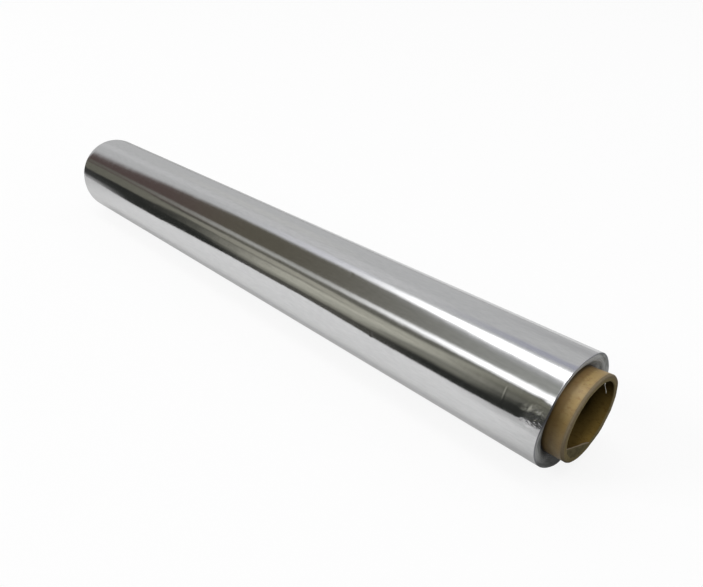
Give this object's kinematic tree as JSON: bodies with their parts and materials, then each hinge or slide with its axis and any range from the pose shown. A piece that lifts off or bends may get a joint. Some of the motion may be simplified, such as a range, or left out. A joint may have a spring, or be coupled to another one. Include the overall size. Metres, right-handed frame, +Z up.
{
  "type": "aluminium foil roll",
  "caption": "Household roll of aluminium foil wound on a brown paper tube that stands out past it at both ends, lying on its side.",
  "frame": {"origin": "on the roll's axis, at the middle of the tube's bore", "axes": "+X along the roll towards the end that the picture shows, +Z up as the roll lies on its side"},
  "size_m": [0.3114, 0.04, 0.0398],
  "materials": {
    "foil": "bright rolled foil",
    "cardboard": "plain brown kraft board"
  },
  "bodies": {
    "root": {"foil_winding": "foil", "cardboard_core": "cardboard"}
  },
  "joints": []
}
